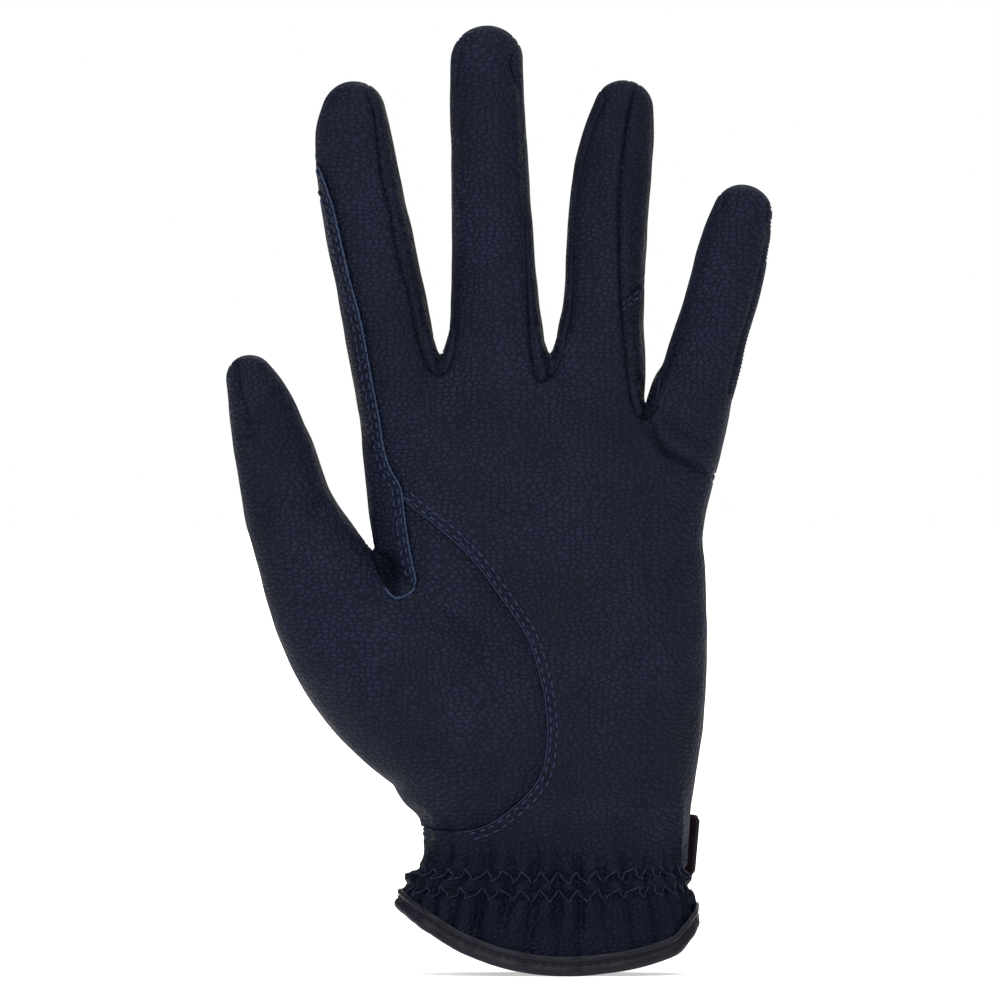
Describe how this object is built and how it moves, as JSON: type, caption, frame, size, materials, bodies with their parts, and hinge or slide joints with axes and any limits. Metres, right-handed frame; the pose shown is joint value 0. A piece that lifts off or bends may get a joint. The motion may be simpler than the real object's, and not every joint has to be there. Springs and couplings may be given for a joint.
{
  "type": "riding glove",
  "caption": "Close-fitting left-hand riding glove in grained synthetic leather, with a gathered elastic wrist, a bound cuff and a wrist tab.",
  "frame": {"origin": "centre of the opening that the hand goes into, level with the lower wrist elastic's foot", "axes": "+Z towards the fingertips, -Y the side that the palm faces, -X towards the thumb"},
  "size_m": [0.1357, 0.0422, 0.2374],
  "materials": {
    "panel_leather": "matte, fine scale grain",
    "side_leather": "matte, fine scale grain",
    "binding_leather": "satin, smooth",
    "tab_leather": "satin",
    "elastic": "woven elastic",
    "gusset_fabric": "stretch knit",
    "loop_tape": "looped pile",
    "hook_tape": "moulded hooks"
  },
  "bodies": {
    "palm": {"palm_panel": "panel_leather", "thumb_ball_panel": "panel_leather", "index_root_side_panel": "panel_leather", "back_panel": "panel_leather", "gusset_index_middle": "side_leather", "gusset_middle_ring": "side_leather", "gusset_ring_little": "side_leather", "hem_binding": "binding_leather", "wrist_elastic_upper": "elastic", "wrist_elastic_lower": "elastic", "closure_gusset": "gusset_fabric", "closure_loop_tape": "loop_tape", "closure_tab_base": "tab_leather"},
    "closure": {"closure_tab": "tab_leather", "closure_hook_tape": "hook_tape"},
    "index_lower": {"index_lower_front": "panel_leather", "index_lower_back": "panel_leather", "index_lower_side_panel": "panel_leather", "index_lower_fourchette": "side_leather"},
    "index_upper": {"index_upper_front": "panel_leather", "index_upper_back": "panel_leather", "index_upper_side_panel": "panel_leather", "index_upper_fourchette": "side_leather"},
    "middle_lower": {"middle_lower_front": "panel_leather", "middle_lower_back": "panel_leather", "middle_lower_fourchette_thumb_side": "side_leather", "middle_lower_fourchette_little_side": "side_leather"},
    "middle_upper": {"middle_upper_front": "panel_leather", "middle_upper_back": "panel_leather", "middle_upper_fourchette_thumb_side": "side_leather", "middle_upper_fourchette_little_side": "side_leather"},
    "ring_lower": {"ring_lower_front": "panel_leather", "ring_lower_back": "panel_leather", "ring_lower_fourchette_thumb_side": "side_leather", "ring_lower_fourchette_little_side": "side_leather"},
    "ring_upper": {"ring_upper_front": "panel_leather", "ring_upper_back": "panel_leather", "ring_upper_fourchette_thumb_side": "side_leather", "ring_upper_fourchette_little_side": "side_leather"},
    "little_lower": {"little_lower_front": "panel_leather", "little_lower_back": "panel_leather", "little_lower_fourchette": "side_leather"},
    "little_upper": {"little_upper_front": "panel_leather", "little_upper_back": "panel_leather", "little_upper_fourchette": "side_leather"},
    "thumb_lower": {"thumb_lower_front": "panel_leather", "thumb_lower_back": "panel_leather"},
    "thumb_upper": {"thumb_upper_front": "panel_leather", "thumb_upper_back": "panel_leather"}
  },
  "joints": [
    {"name": "index_root_knuckle", "type": "hinge", "parent": "palm", "child": "index_lower", "pos_m": [-0.041, 0, 0.1525], "axis": [0.9969, 0, 0.0785], "range_deg": [0, 70]},
    {"name": "index_middle_knuckle", "type": "hinge", "parent": "index_lower", "child": "index_upper", "pos_m": [-0.0446, 0, 0.17522], "axis": [0.9969, 0, 0.0785], "range_deg": [0, 90]},
    {"name": "middle_root_knuckle", "type": "hinge", "parent": "palm", "child": "middle_lower", "pos_m": [-0.0135, 0, 0.1525], "axis": [0.9999, 0, 0.0166], "range_deg": [0, 70]},
    {"name": "middle_middle_knuckle", "type": "hinge", "parent": "middle_lower", "child": "middle_upper", "pos_m": [-0.01443, 0, 0.18049], "axis": [0.9999, 0, 0.0166], "range_deg": [0, 90]},
    {"name": "ring_root_knuckle", "type": "hinge", "parent": "palm", "child": "ring_lower", "pos_m": [0.0131, 0, 0.152], "axis": [0.9992, 0, -0.0393], "range_deg": [0, 70]},
    {"name": "ring_middle_knuckle", "type": "hinge", "parent": "ring_lower", "child": "ring_upper", "pos_m": [0.01475, 0, 0.17294], "axis": [0.9992, 0, -0.0393], "range_deg": [0, 90]},
    {"name": "little_root_knuckle", "type": "hinge", "parent": "palm", "child": "little_lower", "pos_m": [0.0369, 0, 0.138], "axis": [0.992, 0, -0.1262], "range_deg": [0, 70]},
    {"name": "little_middle_knuckle", "type": "hinge", "parent": "little_lower", "child": "little_upper", "pos_m": [0.04166, 0, 0.1564], "axis": [0.992, 0, -0.1262], "range_deg": [0, 90]},
    {"name": "thumb_root_knuckle", "type": "hinge", "parent": "palm", "child": "thumb_lower", "pos_m": [-0.0661, 0, 0.1096], "axis": [0.9903, 0, 0.1392], "range_deg": [0, 40]},
    {"name": "thumb_tip_knuckle", "type": "hinge", "parent": "thumb_lower", "child": "thumb_upper", "pos_m": [-0.07037, 0, 0.1245], "axis": [0.9903, 0, 0.1392], "range_deg": [0, 60]},
    {"name": "closure_tab_hinge", "type": "hinge", "parent": "palm", "child": "closure", "pos_m": [0.0053, 0.02171, 0.02085], "axis": [0, 0, 1], "range_deg": [0, 120]}
  ]
}
